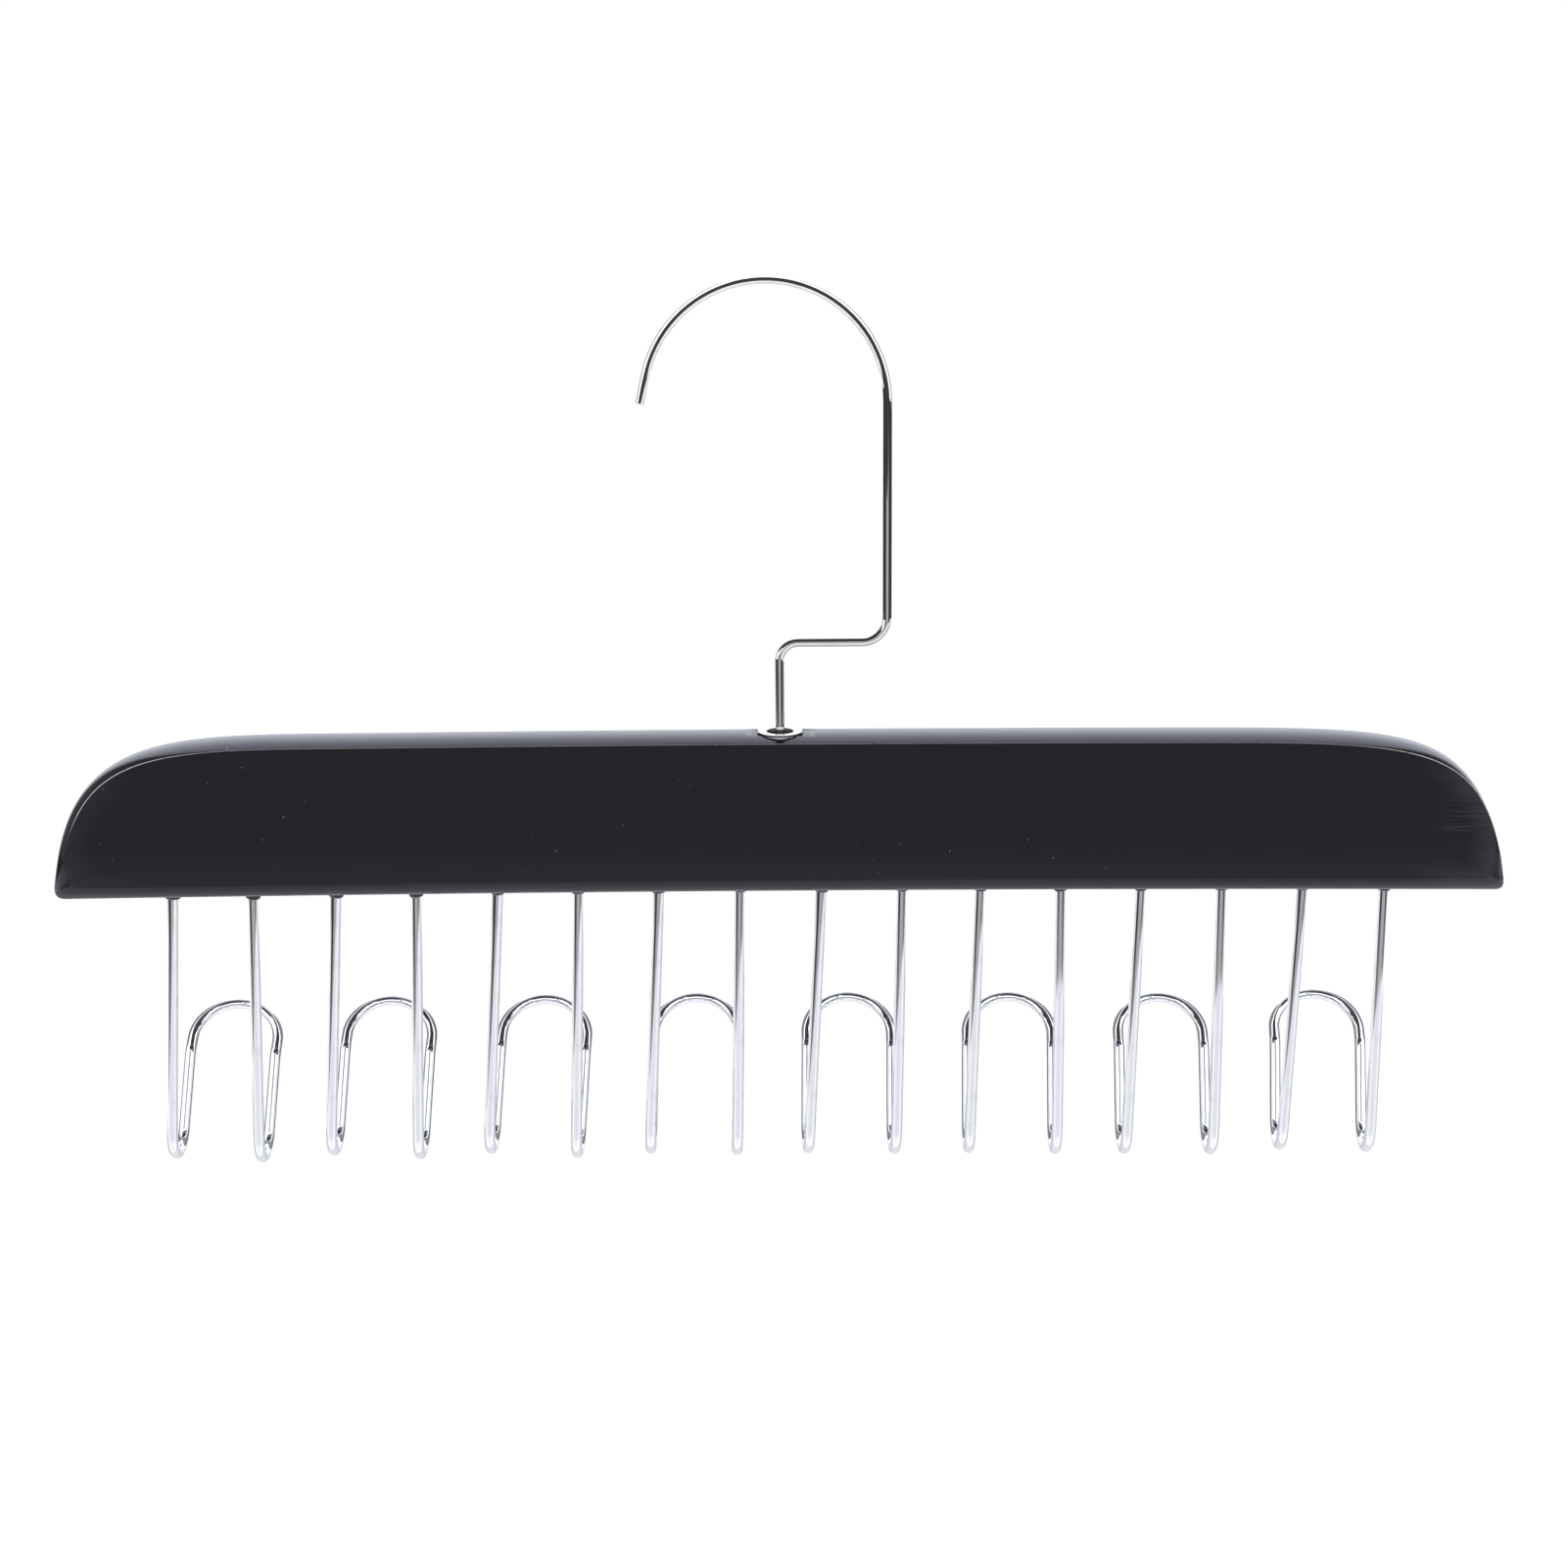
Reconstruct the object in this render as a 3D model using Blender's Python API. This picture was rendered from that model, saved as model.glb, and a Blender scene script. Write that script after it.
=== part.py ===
"""Belt hanger: a wooden bar with a swivel hook on top and a row of wire belt hooks below.

Metres, +Z up. +X runs along the bar and +Y is its back, which the belt hooks open to. The origin is where the
hanger rests on a wardrobe rod, at the inner top of the swivel hook's curve.
"""
from math import cos, pi, radians, sin, tan

import bmesh
import bpy
from mathutils import Euler, Matrix, Vector

# Fits
CLEARANCE = 0.0003          # gap between pieces that touch or are pressed together

# Swivel hook
ROD_WIRE = 0.0022           # wire of the swivel hook
ROD_CURVE = 0.0286          # radius of the curve over the rod, to the wire's centre
ROD_SWEEP = radians(168)    # how far the curve goes round, from the shaft to the tip
TIP_LENGTH = 0.0063         # straight end that opens the mouth
SHAFT_HEIGHT = 0.0572       # from the crank to the middle of the curve
CRANK_REACH = 0.02565       # from the stem to the shaft
CRANK_BEND = 0.0060         # bend radius between crank and shaft
STEM_BEND = 0.0045          # bend radius between stem and crank
STEM_HEIGHT = 0.02175       # from the top of the bar to the crank
HEAD_SIZE = 0.0046          # upset end of the stem, which the socket holds
HEAD_THICKNESS = 0.0014
HEAD_BEVEL = 0.7            # how much of the head's size is left at its lower face
HEAD_NECK = 1.25            # how many times the wire the head is at its upper face
EDGE_SHARE = 0.25           # how much of a thin rim its rounded edge takes

# Bar
BAR_LENGTH = 0.3492         # along the foot of its flat front
BAR_THICKNESS = 0.0140
BAR_SHIFT = 0.00025         # its middle is this far to the right of the stem
BAR_BOW = 0.0009            # the wood has bowed, and its ends have dropped this far below its middle
FACE_HEIGHT = 0.03733       # of the flat front and back
CROWN = 0.00145             # how far the top bulges between the faces
CROWN_POWER = 2.5           # 2 is a plain arch, more is flatter with rounder shoulders
BOTTOM_ROUND = 0.0035       # radius along the two lower edges
CORNER_ROUND = 0.0026       # along the face, at the two lower corners
END_RUN = 0.0800            # the top starts to fall this far from each end
# Each end is one curve: how it leans at its foot, how far it holds either direction, and how far it bulges
LEFT_END = {"lean": radians(8.0), "rise": 0.0406, "top_run": 0.0548, "crown": 0.0023}
RIGHT_END = {"lean": radians(10.4), "rise": 0.0383, "top_run": 0.0622, "crown": 0.0004}

# Swivel socket
SOCKET_GAP = 0.0006         # round the stem's head, so that it turns freely
SOCKET_WALL = 0.0008
SOCKET_LENGTH = 0.0090      # barrel below the flange
BARB_HEIGHT = 0.0002        # rings that grip the wood
BARB_LENGTH = 0.0008        # each ring tapers this far towards the barrel's foot
BARB_COUNT = 3
FLANGE_WIDTH = 0.0017
FLANGE_THICKNESS = 0.0005
FUNNEL_DEPTH = 0.0022
WEB_THICKNESS = 0.0012      # inner collar that the head hangs under
SPOT_DEPTH = 0.0003         # flat cut in the crown for the flange

# Belt hooks
HOOK_COUNT = 8
HOOK_WIRE = 0.0028
ROW_MARGIN = 0.03705        # from each end of the bar to the middle of the last belt hook
ROW_SHIFT = -0.00075        # the row's middle is this far to the right of the stem
LEG_SPACING = 0.0196        # between the two holes of one belt hook
LEG_DROP = 0.06245          # straight leg below the bar, of a belt hook pushed right in
LEG_INSERT = 0.0130         # leg inside the bar
THROAT_BEND = 0.00756       # radius of the J at the foot of each leg
RISER_LEAN = radians(25.9)
RISER_LENGTH = 0.01785
LIP_BEND = 0.0050           # radius where the riser bends back into the lip
LIP_LEAN = radians(50.8)
LIP_RUN = 0.0029            # straight part of the lip before its arch
ARCH_RADIUS = 0.0108        # of the arch that joins the two risers
# How each belt hook was set in the bar: lean along the bar, turn about its middle, how far it stands out, and how
# far along the bar it is from its even place in the row
HOOK_SETTING = (
    (2.5, -1.4, 0.0007, 0.0001),
    (2.6, -0.9, 0.0004, 0.0005),
    (2.7, -1.5, 0.0005, 0.0006),
    (1.9, 0.8, 0.0004, 0.0005),
    (1.9, 2.4, 0.0004, 0.0007),
    (0.8, -0.7, 0.0006, 0.0),
    (0.9, 0.3, 0.0009, -0.0002),
    (1.4, -1.6, 0.0, -0.0001),
)

# Facets
WIRE_RESOLUTION = 3         # gives ten sides
ARC_STEP = radians(12)      # along a bend
END_STEPS = 18
CORNER_STEPS = 4
BOW_STEPS = 8               # along the straight top and bottom of the bar
ROUND_STEPS = 4             # across each rounded lower edge
FUNNEL_STEPS = 4
MERGE = 1e-6                # closes the seam of a turned shape
TURNED_STEPS = 32
HOLE_STEPS = 16
SMOOTH_ANGLE = radians(28)

# What follows from the sizes above
BAR_HEIGHT = FACE_HEIGHT + CROWN
STEM_X = ROD_CURVE - CRANK_REACH
CURVE_Z = ROD_WIRE / 2 - ROD_CURVE
CRANK_Z = CURVE_Z - SHAFT_HEIGHT
BAR_TOP_Z = CRANK_Z - STEM_HEIGHT
BAR_BOTTOM_Z = BAR_TOP_Z - BAR_HEIGHT
FLANGE_SEAT = BAR_HEIGHT - SPOT_DEPTH + CLEARANCE
SOCKET_TOP = FLANGE_SEAT + FLANGE_THICKNESS
WEB_UNDERSIDE = SOCKET_TOP - FUNNEL_DEPTH - WEB_THICKNESS
BORE_RADIUS = ROD_WIRE / 2 + CLEARANCE
CHAMBER_RADIUS = HEAD_SIZE / 2 + SOCKET_GAP
BARREL_RADIUS = CHAMBER_RADIUS + SOCKET_WALL
FLANGE_RADIUS = BARREL_RADIUS + FLANGE_WIDTH

X = Vector((1, 0, 0))
Y = Vector((0, 1, 0))
Z = Vector((0, 0, 1))


def clear_scene():
    for item in list(bpy.data.objects):
        bpy.data.objects.remove(item, do_unlink=True)


def finish(name, color, roughness, metallic):
    """A material with one finish all over."""
    material = bpy.data.materials.new(name)
    material.use_nodes = True
    shader = material.node_tree.nodes["Principled BSDF"]
    shader.inputs["Base Color"].default_value = (*color, 1)
    shader.inputs["Roughness"].default_value = roughness
    shader.inputs["Metallic"].default_value = metallic
    return material


def add_object(name, data, material=None, parent=None):
    item = bpy.data.objects.new(name, data)
    bpy.context.scene.collection.objects.link(item)
    item.parent = parent
    if material and not data.materials:
        data.materials.append(material)
    return item


def mesh_from(name, bm):
    """Turns a bmesh into a smooth-shaded mesh with its faces pointing out."""
    bmesh.ops.recalc_face_normals(bm, faces=bm.faces)
    mesh = bpy.data.meshes.new(name)
    bm.to_mesh(mesh)
    bm.free()
    mesh.shade_smooth()
    mesh.set_sharp_from_angle(angle=SMOOTH_ANGLE)
    return mesh


def arc(centre, start, side, radius, sweep):
    """Points on an arc that leaves from centre + start and turns towards side, both of them unit vectors."""
    steps = max(2, round(abs(sweep) / ARC_STEP))
    angles = [sweep * i / steps for i in range(steps + 1)]
    return [centre + radius * (cos(a) * start + sin(a) * side) for a in angles]


def wire_curve(name, points, diameter, radii=None):
    """A round wire along the points; radii swells or thins it by a factor at each point."""
    curve = bpy.data.curves.new(name, "CURVE")
    curve.dimensions = "3D"
    curve.bevel_depth = diameter / 2
    curve.bevel_resolution = WIRE_RESOLUTION
    curve.use_fill_caps = True
    spline = curve.splines.new("POLY")
    spline.points.add(len(points) - 1)
    for i, point in enumerate(points):
        spline.points[i].co = (*point, 1)
        spline.points[i].radius = radii[i] if radii else 1
    return curve


def turned(name, profile, steps=TURNED_STEPS):
    """A solid turned about Z from an outline of (radius, height) points."""
    bm = bmesh.new()
    verts = [bm.verts.new((r, 0, z)) for r, z in profile]
    edges = [bm.edges.new((verts[i - 1], verts[i])) for i in range(len(verts))]
    on_axis = [e for e in edges if all(v.co.x == 0 for v in e.verts)]
    bmesh.ops.delete(bm, geom=on_axis, context="EDGES")
    bmesh.ops.spin(bm, geom=bm.verts[:] + bm.edges[:], cent=(0, 0, 0), axis=Z, angle=2 * pi, steps=steps)
    bmesh.ops.remove_doubles(bm, verts=bm.verts, dist=MERGE)
    return mesh_from(name, bm)


def cut(target, cutter):
    """Cuts the cutter's shape out of the target and hides the cutter."""
    cutter.hide_render = True
    cutter.display_type = "WIRE"
    modifier = target.modifiers.new(cutter.name, "BOOLEAN")
    modifier.operation = "DIFFERENCE"
    modifier.solver = "EXACT"
    modifier.object = cutter


def swivel_hook_points():
    """The hook's centre line from the head at the foot of the stem to the open tip, and its swelling."""
    head_top = BAR_BOTTOM_Z + WEB_UNDERSIDE - CLEARANCE
    edge = HEAD_THICKNESS * EDGE_SHARE
    swell = HEAD_SIZE / ROD_WIRE
    stem = STEM_X * X
    head = [(HEAD_THICKNESS, HEAD_BEVEL * swell), (HEAD_THICKNESS - edge, swell), (edge, swell), (0, HEAD_NECK)]
    points = [stem + (head_top - depth) * Z for depth, _ in head]
    radii = [factor for _, factor in head]
    points.append(stem + (head_top + edge) * Z)
    points += arc(stem + STEM_BEND * X + (CRANK_Z - STEM_BEND) * Z, -X, Z, STEM_BEND, pi / 2)
    points += arc((ROD_CURVE - CRANK_BEND) * X + (CRANK_Z + CRANK_BEND) * Z, -Z, X, CRANK_BEND, pi / 2)
    points += arc(CURVE_Z * Z, X, Z, ROD_CURVE, ROD_SWEEP)
    heading = cos(ROD_SWEEP) * Z - sin(ROD_SWEEP) * X
    points.append(points[-1] + TIP_LENGTH * heading)
    return points, radii + [1] * (len(points) - len(radii))


def make_swivel_hook(material):
    points, radii = swivel_hook_points()
    curve = wire_curve("swivel_hook", points, ROD_WIRE, radii)
    return add_object("swivel_hook", curve, material)


def bezier(a, b, c, d, steps):
    """Points and outward normals of a cubic curve that runs up and inwards from a to d."""
    result = []
    for i in range(steps + 1):
        t = i / steps
        s = 1 - t
        point = s**3 * a + 3 * s * s * t * b + 3 * s * t * t * c + t**3 * d
        slope = 3 * (s * s * (b - a) + 2 * s * t * (c - b) + t * t * (d - c))
        result.append((point, Vector((slope.y, -slope.x)).normalized()))
    return result


def end_outline(end, lift, bulge):
    """One end of the bar at +X: its lower edge lifted by lift, the rest swollen by bulge times its crown."""
    half = BAR_LENGTH / 2
    upwards = Vector((-sin(end["lean"]), cos(end["lean"])))
    outwards = Vector((cos(end["lean"]), sin(end["lean"])))
    foot = Vector((half - lift * tan(end["lean"]), lift))
    start = foot + CORNER_ROUND * upwards
    rise = Vector((half, 0)) + end["rise"] * upwards
    top = Vector((half - END_RUN, FACE_HEIGHT))
    side = []
    for point, normal in bezier(start, rise, top + Vector((end["top_run"], 0)), top, END_STEPS):
        crown = end["crown"] + (CROWN - end["crown"]) * normal.y ** 2
        side.append(point + bulge * crown * normal)
    swell = bulge * end["crown"]
    corner = foot + swell * outwards - swell * tan(end["lean"]) * upwards
    reach = (side[0] - corner).length
    flat = corner - Vector((reach, 0))
    corner_points = []
    for i in range(CORNER_STEPS):
        t = i / CORNER_STEPS
        corner_points.append((1 - t) ** 2 * flat + 2 * t * (1 - t) * corner + t * t * side[0])
    return corner_points + side


def bar_section():
    """The depths across the bar at which its outline is drawn, each with its lift and its bulge."""
    half = BAR_THICKNESS / 2
    round_radius = min(BOTTOM_ROUND, half)
    angles = [pi / 2 * i / ROUND_STEPS for i in range(ROUND_STEPS + 1)]
    depths = [(half - round_radius * (1 - cos(a)), round_radius * (1 - sin(a))) for a in angles]
    depths += [((half - round_radius) / 2, 0), (0, 0)]
    section = [(depth, lift, 1 - (depth / half) ** CROWN_POWER) for depth, lift in depths]
    front = [(-depth, lift, bulge) for depth, lift, bulge in section]
    back = section[-2::-1]
    return front + back


def bow(x):
    """How far the bowed wood has dropped at this distance from the bar's middle."""
    return BAR_BOW * (2 * x / BAR_LENGTH) ** 2


def run(start, end, steps):
    """The points that divide a straight line into steps, without its ends."""
    return [start.lerp(end, i / steps) for i in range(1, steps)]


def bar_outline(lift, bulge):
    """The whole outline of the bar at one depth, bowed as the wood is."""
    right = end_outline(RIGHT_END, lift, bulge)
    left = [Vector((-p.x, p.y)) for p in end_outline(LEFT_END, lift, bulge)][::-1]
    outline = right + run(right[-1], left[0], BOW_STEPS) + left + run(left[-1], right[0], BOW_STEPS)
    return [Vector((p.x + BAR_SHIFT, p.y - bow(p.x))) for p in outline]


def make_bar(material, frame):
    """The bar, lofted from front to back through its outlines."""
    bm = bmesh.new()
    rings = []
    for depth, lift, bulge in bar_section():
        rings.append([bm.verts.new((p.x, depth, p.y)) for p in bar_outline(lift, bulge)])
    for front, back in zip(rings, rings[1:]):
        for i in range(len(front)):
            bm.faces.new((front[i - 1], front[i], back[i], back[i - 1]))
    bm.faces.new(rings[0])
    bm.faces.new(rings[-1][::-1])
    return add_object("bar", mesh_from("bar", bm), material, frame)


def socket_profile():
    """The socket's outline: round its flange, down its barbed barrel, up its chamber and its funnel."""
    top = SOCKET_TOP
    foot = FLANGE_SEAT - SOCKET_LENGTH
    web_top = top - FUNNEL_DEPTH
    edge = FLANGE_THICKNESS * EDGE_SHARE
    lip = CHAMBER_RADIUS + SOCKET_WALL / 2
    profile = [
        (lip, top),
        (FLANGE_RADIUS - edge, top),
        (FLANGE_RADIUS, top - edge),
        (FLANGE_RADIUS, FLANGE_SEAT + edge),
        (FLANGE_RADIUS - edge, FLANGE_SEAT),
        (BARREL_RADIUS, FLANGE_SEAT),
    ]
    pitch = SOCKET_LENGTH / (BARB_COUNT + 1)
    for i in range(1, BARB_COUNT + 1):
        z = FLANGE_SEAT - i * pitch
        profile += [(BARREL_RADIUS, z + BARB_HEIGHT), (BARREL_RADIUS + BARB_HEIGHT, z),
                    (BARREL_RADIUS, z - BARB_LENGTH)]
    profile += [
        (BARREL_RADIUS, foot),
        (CHAMBER_RADIUS, foot),
        (CHAMBER_RADIUS, WEB_UNDERSIDE),
        (BORE_RADIUS, WEB_UNDERSIDE),
        (BORE_RADIUS, web_top),
    ]
    for i in range(1, FUNNEL_STEPS):
        angle = pi / 2 * i / FUNNEL_STEPS
        profile.append((BORE_RADIUS + (lip - BORE_RADIUS) * sin(angle), top - FUNNEL_DEPTH * cos(angle)))
    return profile


def make_socket(material, frame):
    return add_object("swivel_socket", turned("swivel_socket", socket_profile()), material, frame)


def socket_hole(frame):
    """Cutter for the socket: a hole for the barrel under a flat for the flange."""
    hole = BARREL_RADIUS + BARB_HEIGHT + CLEARANCE
    flat = FLANGE_RADIUS + CLEARANCE
    seat = BAR_HEIGHT - SPOT_DEPTH
    floor = FLANGE_SEAT - SOCKET_LENGTH - CLEARANCE
    above = BAR_HEIGHT + CROWN
    profile = [(0, above), (flat, above), (flat, seat), (hole, seat), (hole, floor), (0, floor)]
    return add_object("socket_hole", turned("socket_hole", profile, HOLE_STEPS * 2), parent=frame)


def leg_direction(side):
    """Which way a leg runs up into the bar, on the +X side or the -X side of its hook."""
    return (Vector((side * LEG_SPACING / 2, 0, 0)) - Vector((side * ARCH_RADIUS, 0, -LEG_DROP))).normalized()


def leg_and_riser(side):
    """One side of a belt hook, from the end inside the bar down the leg, round the J and up to the lip."""
    mouth = side * LEG_SPACING / 2 * X
    foot = side * ARCH_RADIUS * X - LEG_DROP * Z
    points = [mouth + LEG_INSERT * leg_direction(side)]
    points += arc(foot + THROAT_BEND * Y, -Y, -Z, THROAT_BEND, pi - RISER_LEAN)
    riser = sin(RISER_LEAN) * Y + cos(RISER_LEAN) * Z
    behind = cos(RISER_LEAN) * Y - sin(RISER_LEAN) * Z
    riser_top = points[-1] + RISER_LENGTH * riser
    points += arc(riser_top + LIP_BEND * behind, -behind, riser, LIP_BEND, LIP_LEAN - RISER_LEAN)
    lip = sin(LIP_LEAN) * Y + cos(LIP_LEAN) * Z
    points.append(points[-1] + LIP_RUN * lip)
    return points


def belt_hook_points():
    """The whole wire of a belt hook, with its origin between its two holes at the bar's underside."""
    right = leg_and_riser(1)
    left = leg_and_riser(-1)
    lip = sin(LIP_LEAN) * Y + cos(LIP_LEAN) * Z
    centre = right[-1] - ARCH_RADIUS * X
    return right[:-1] + arc(centre, X, lip, ARCH_RADIUS, pi) + left[-2::-1]


def hook_place(index):
    """Where the middle of a belt hook's two holes lies, on the bar's underside."""
    span = BAR_LENGTH - 2 * ROW_MARGIN
    slip = HOOK_SETTING[index % len(HOOK_SETTING)][3]
    x = ROW_SHIFT - span / 2 + span * index / (HOOK_COUNT - 1) + slip
    return Vector((x, 0, -bow(x - BAR_SHIFT)))


def hook_rotation(index):
    lean, turn = HOOK_SETTING[index % len(HOOK_SETTING)][:2]
    return Euler((0, radians(lean), radians(turn)))


def make_belt_hooks(material, frame):
    """The row of belt hooks, which share one bent wire."""
    curve = wire_curve("belt_hook", belt_hook_points(), HOOK_WIRE)
    for index in range(HOOK_COUNT):
        hook = add_object(f"belt_hook_{index + 1}", curve, material, frame)
        rotation = hook_rotation(index)
        stand_out = HOOK_SETTING[index % len(HOOK_SETTING)][2]
        hook.location = hook_place(index) - stand_out * (rotation.to_matrix() @ Z)
        hook.rotation_euler = rotation


def leg_holes(frame):
    """Cutter for all the legs: one blind hole along each, with its clearance."""
    bm = bmesh.new()
    below = HOOK_WIRE + BOTTOM_ROUND
    depth = LEG_INSERT + CLEARANCE
    for index in range(HOOK_COUNT):
        place = Matrix.Translation(hook_place(index)) @ hook_rotation(index).to_matrix().to_4x4()
        for side in (1, -1):
            direction = leg_direction(side)
            middle = side * LEG_SPACING / 2 * X + (depth - below) / 2 * direction
            turn = Z.rotation_difference(direction).to_matrix().to_4x4()
            bmesh.ops.create_cone(
                bm, cap_ends=True, segments=HOLE_STEPS, depth=depth + below,
                radius1=HOOK_WIRE / 2 + CLEARANCE, radius2=HOOK_WIRE / 2 + CLEARANCE,
                matrix=place @ Matrix.Translation(middle) @ turn)
    return add_object("leg_holes", mesh_from("leg_holes", bm), parent=frame)


def build():
    clear_scene()
    chrome = finish("chrome", (0.80, 0.81, 0.84), 0.12, 1.0)
    nickel = finish("nickel", (0.72, 0.70, 0.68), 0.20, 1.0)
    black_paint = finish("black_paint", (0.017, 0.016, 0.020), 0.45, 0.0)
    make_swivel_hook(chrome)
    turning = add_object("bar_frame", None)
    turning.location = (STEM_X, 0, BAR_BOTTOM_Z)
    bar = make_bar(black_paint, turning)
    cut(bar, leg_holes(turning))
    cut(bar, socket_hole(turning))
    make_socket(nickel, turning)
    make_belt_hooks(chrome, turning)


build()
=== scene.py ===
"""Looks of the belt hanger: smooth wires, a painted wooden bar and a pressed eyelet, in a white studio.

Metres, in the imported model's frame. +X runs along the bar, +Y is its back and +Z is up.
"""

from math import cos, pi, radians, sin, tan

import bmesh
import bpy
from mathutils import Euler, Matrix, Vector

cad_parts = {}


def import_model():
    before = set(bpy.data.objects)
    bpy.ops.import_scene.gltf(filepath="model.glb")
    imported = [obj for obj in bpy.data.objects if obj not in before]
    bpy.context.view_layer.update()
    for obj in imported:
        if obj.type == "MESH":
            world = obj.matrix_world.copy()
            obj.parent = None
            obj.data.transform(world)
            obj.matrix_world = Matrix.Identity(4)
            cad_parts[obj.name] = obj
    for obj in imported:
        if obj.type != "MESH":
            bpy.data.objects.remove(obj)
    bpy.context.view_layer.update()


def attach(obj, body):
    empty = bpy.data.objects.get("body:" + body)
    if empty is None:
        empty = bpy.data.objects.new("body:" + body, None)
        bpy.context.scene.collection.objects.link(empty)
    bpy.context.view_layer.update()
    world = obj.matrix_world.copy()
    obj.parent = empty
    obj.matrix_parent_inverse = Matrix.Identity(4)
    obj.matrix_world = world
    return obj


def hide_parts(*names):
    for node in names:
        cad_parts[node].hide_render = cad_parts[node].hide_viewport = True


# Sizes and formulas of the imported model
ROD_WIRE = 0.0022
ROD_CURVE = 0.0286
ROD_SWEEP = radians(168)
TIP_LENGTH = 0.0063
SHAFT_HEIGHT = 0.0572
CRANK_REACH = 0.02565
CRANK_BEND = 0.0060
STEM_BEND = 0.0045
STEM_HEIGHT = 0.02175
HEAD_SIZE = 0.0046
HEAD_THICKNESS = 0.0014

BAR_LENGTH = 0.3492
BAR_THICKNESS = 0.0140
BAR_SHIFT = 0.00025
BAR_BOW = 0.0009
FACE_HEIGHT = 0.03733
CROWN = 0.00145
CROWN_POWER = 2.5
BOTTOM_ROUND = 0.0035
CORNER_ROUND = 0.0026
END_RUN = 0.0800
# soft: up to this height the edge round the face is still well rounded
LEFT_END = {"lean": radians(8.0), "rise": 0.0406, "top_run": 0.0548, "crown": 0.0023, "soft": 0.010}
RIGHT_END = {"lean": radians(10.4), "rise": 0.0383, "top_run": 0.0622, "crown": 0.0004, "soft": 0.014}

CLEARANCE = 0.0003
SOCKET_GAP = 0.0006
SOCKET_WALL = 0.0008
SOCKET_LENGTH = 0.0090
FLANGE_WIDTH = 0.0017
FLANGE_THICKNESS = 0.0005
FUNNEL_DEPTH = 0.0022
WEB_THICKNESS = 0.0012
SPOT_DEPTH = 0.0003

HOOK_COUNT = 8
HOOK_WIRE = 0.0028
ROW_MARGIN = 0.03705
ROW_SHIFT = -0.00075
LEG_SPACING = 0.0196
LEG_DROP = 0.06245
LEG_INSERT = 0.0130
THROAT_BEND = 0.00756
RISER_LEAN = radians(25.9)
RISER_LENGTH = 0.01785
LIP_BEND = 0.0050
LIP_LEAN = radians(50.8)
LIP_RUN = 0.0029
ARCH_RADIUS = 0.0108
HOOK_SETTING = (
    (2.5, -1.4, 0.0007, 0.0001),
    (2.6, -0.9, 0.0004, 0.0005),
    (2.7, -1.5, 0.0005, 0.0006),
    (1.9, 0.8, 0.0004, 0.0005),
    (1.9, 2.4, 0.0004, 0.0007),
    (0.8, -0.7, 0.0006, 0.0),
    (0.9, 0.3, 0.0009, -0.0002),
    (1.4, -1.6, 0.0, -0.0001),
)

BAR_HEIGHT = FACE_HEIGHT + CROWN
STEM_X = ROD_CURVE - CRANK_REACH
CURVE_Z = ROD_WIRE / 2 - ROD_CURVE
CRANK_Z = CURVE_Z - SHAFT_HEIGHT
BAR_TOP_Z = CRANK_Z - STEM_HEIGHT
BAR_BOTTOM_Z = BAR_TOP_Z - BAR_HEIGHT
FLANGE_SEAT = BAR_HEIGHT - SPOT_DEPTH + CLEARANCE
SOCKET_TOP = FLANGE_SEAT + FLANGE_THICKNESS
WEB_UNDERSIDE = SOCKET_TOP - FUNNEL_DEPTH - WEB_THICKNESS
BORE_RADIUS = ROD_WIRE / 2 + CLEARANCE
CHAMBER_RADIUS = HEAD_SIZE / 2 + SOCKET_GAP
BARREL_RADIUS = CHAMBER_RADIUS + SOCKET_WALL
FLANGE_RADIUS = BARREL_RADIUS + FLANGE_WIDTH

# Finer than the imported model
EDGE_ROUND = 0.00014        # along the top edges of the bar's faces
WIRE_SIDES = 32
ARC_STEP = radians(4)
END_STEPS = 72
BISECTIONS = 30
CORNER_STEPS = 8
TOP_STEPS = 44
ROUND_STEPS = 8
CROWN_STEPS = 24
TURNED_STEPS = 96
TIP_STEPS = 6
LIP_STEPS = 8
DISH_STEPS = 12
CUP_BEND_STEPS = 6
CUP_FLOOR_STEPS = 8
SHARP = radians(35)         # edges this sharp are shaded sharp
FLAT_ENOUGH = 0.99999       # a face of the bar is shaded flat if its normal lies this much along Y
SLIVER = 0.000004           # slivers left by the cut in the bar are thinner than this
MARGIN = 0.965, 0.72        # along and up: a face less the margin over which its painted sheen fades, as shares of the face
HEAD_FACE = 0.7             # the flat foot of the swivel hook's head, as a share of the head's width
HEAD_EDGE = 0.2             # the rounding of the head, as a share of its thickness
HEAD_FILLET = 1.25          # the wire just above the head, as a share of its own width
TIP_ROUND = 0.00035         # on the cut end of the swivel hook
LIP_THICKNESS = 0.00018     # of the eyelet's thin rim
LIP_DROP = 0.0003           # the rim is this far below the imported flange's top
LIP_DISH = 0.00008          # the rim falls this far towards its cup
CUP_RADIUS = 0.0035
CUP_BEND = 0.0003
CUP_FLOOR_FALL = 0.0001     # the cup's floor falls this much from its curved part to its hole
CUP_FLOOR_SHARE = 0.55      # the curved part of the cup's floor, as a share of its width
BARREL_FLARE = 0.0003       # the barrel widens this much under the rim
SKIRT_INSET = 0.00012       # the side of the rim stands this far inside its edge
SKIRT_THICKNESS = 0.0004
SKIRT_SINK = 0.00003        # its foot in the wood
FLAG_STEPS = 64

# Where the edges of the bar's faces get a painted highlight and a painted sheen: from where on, and how
# much further it is full
HIGHLIGHT_UP = 0.42, 0.15        # as shares of the face's height
HIGHLIGHT_OUT = 0.78, 0.12       # as shares of half the bar's length
SHEEN_OUT = 0.88, 0.07
HIGHLIGHT_ON_TOP = 0.34
HIGHLIGHT_ON_ENDS = 0.66         # on top of the painted highlight along the top
SHEEN_ON_LEFT = 0.4           # of the painted sheen, as a share of that on the right end
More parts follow.
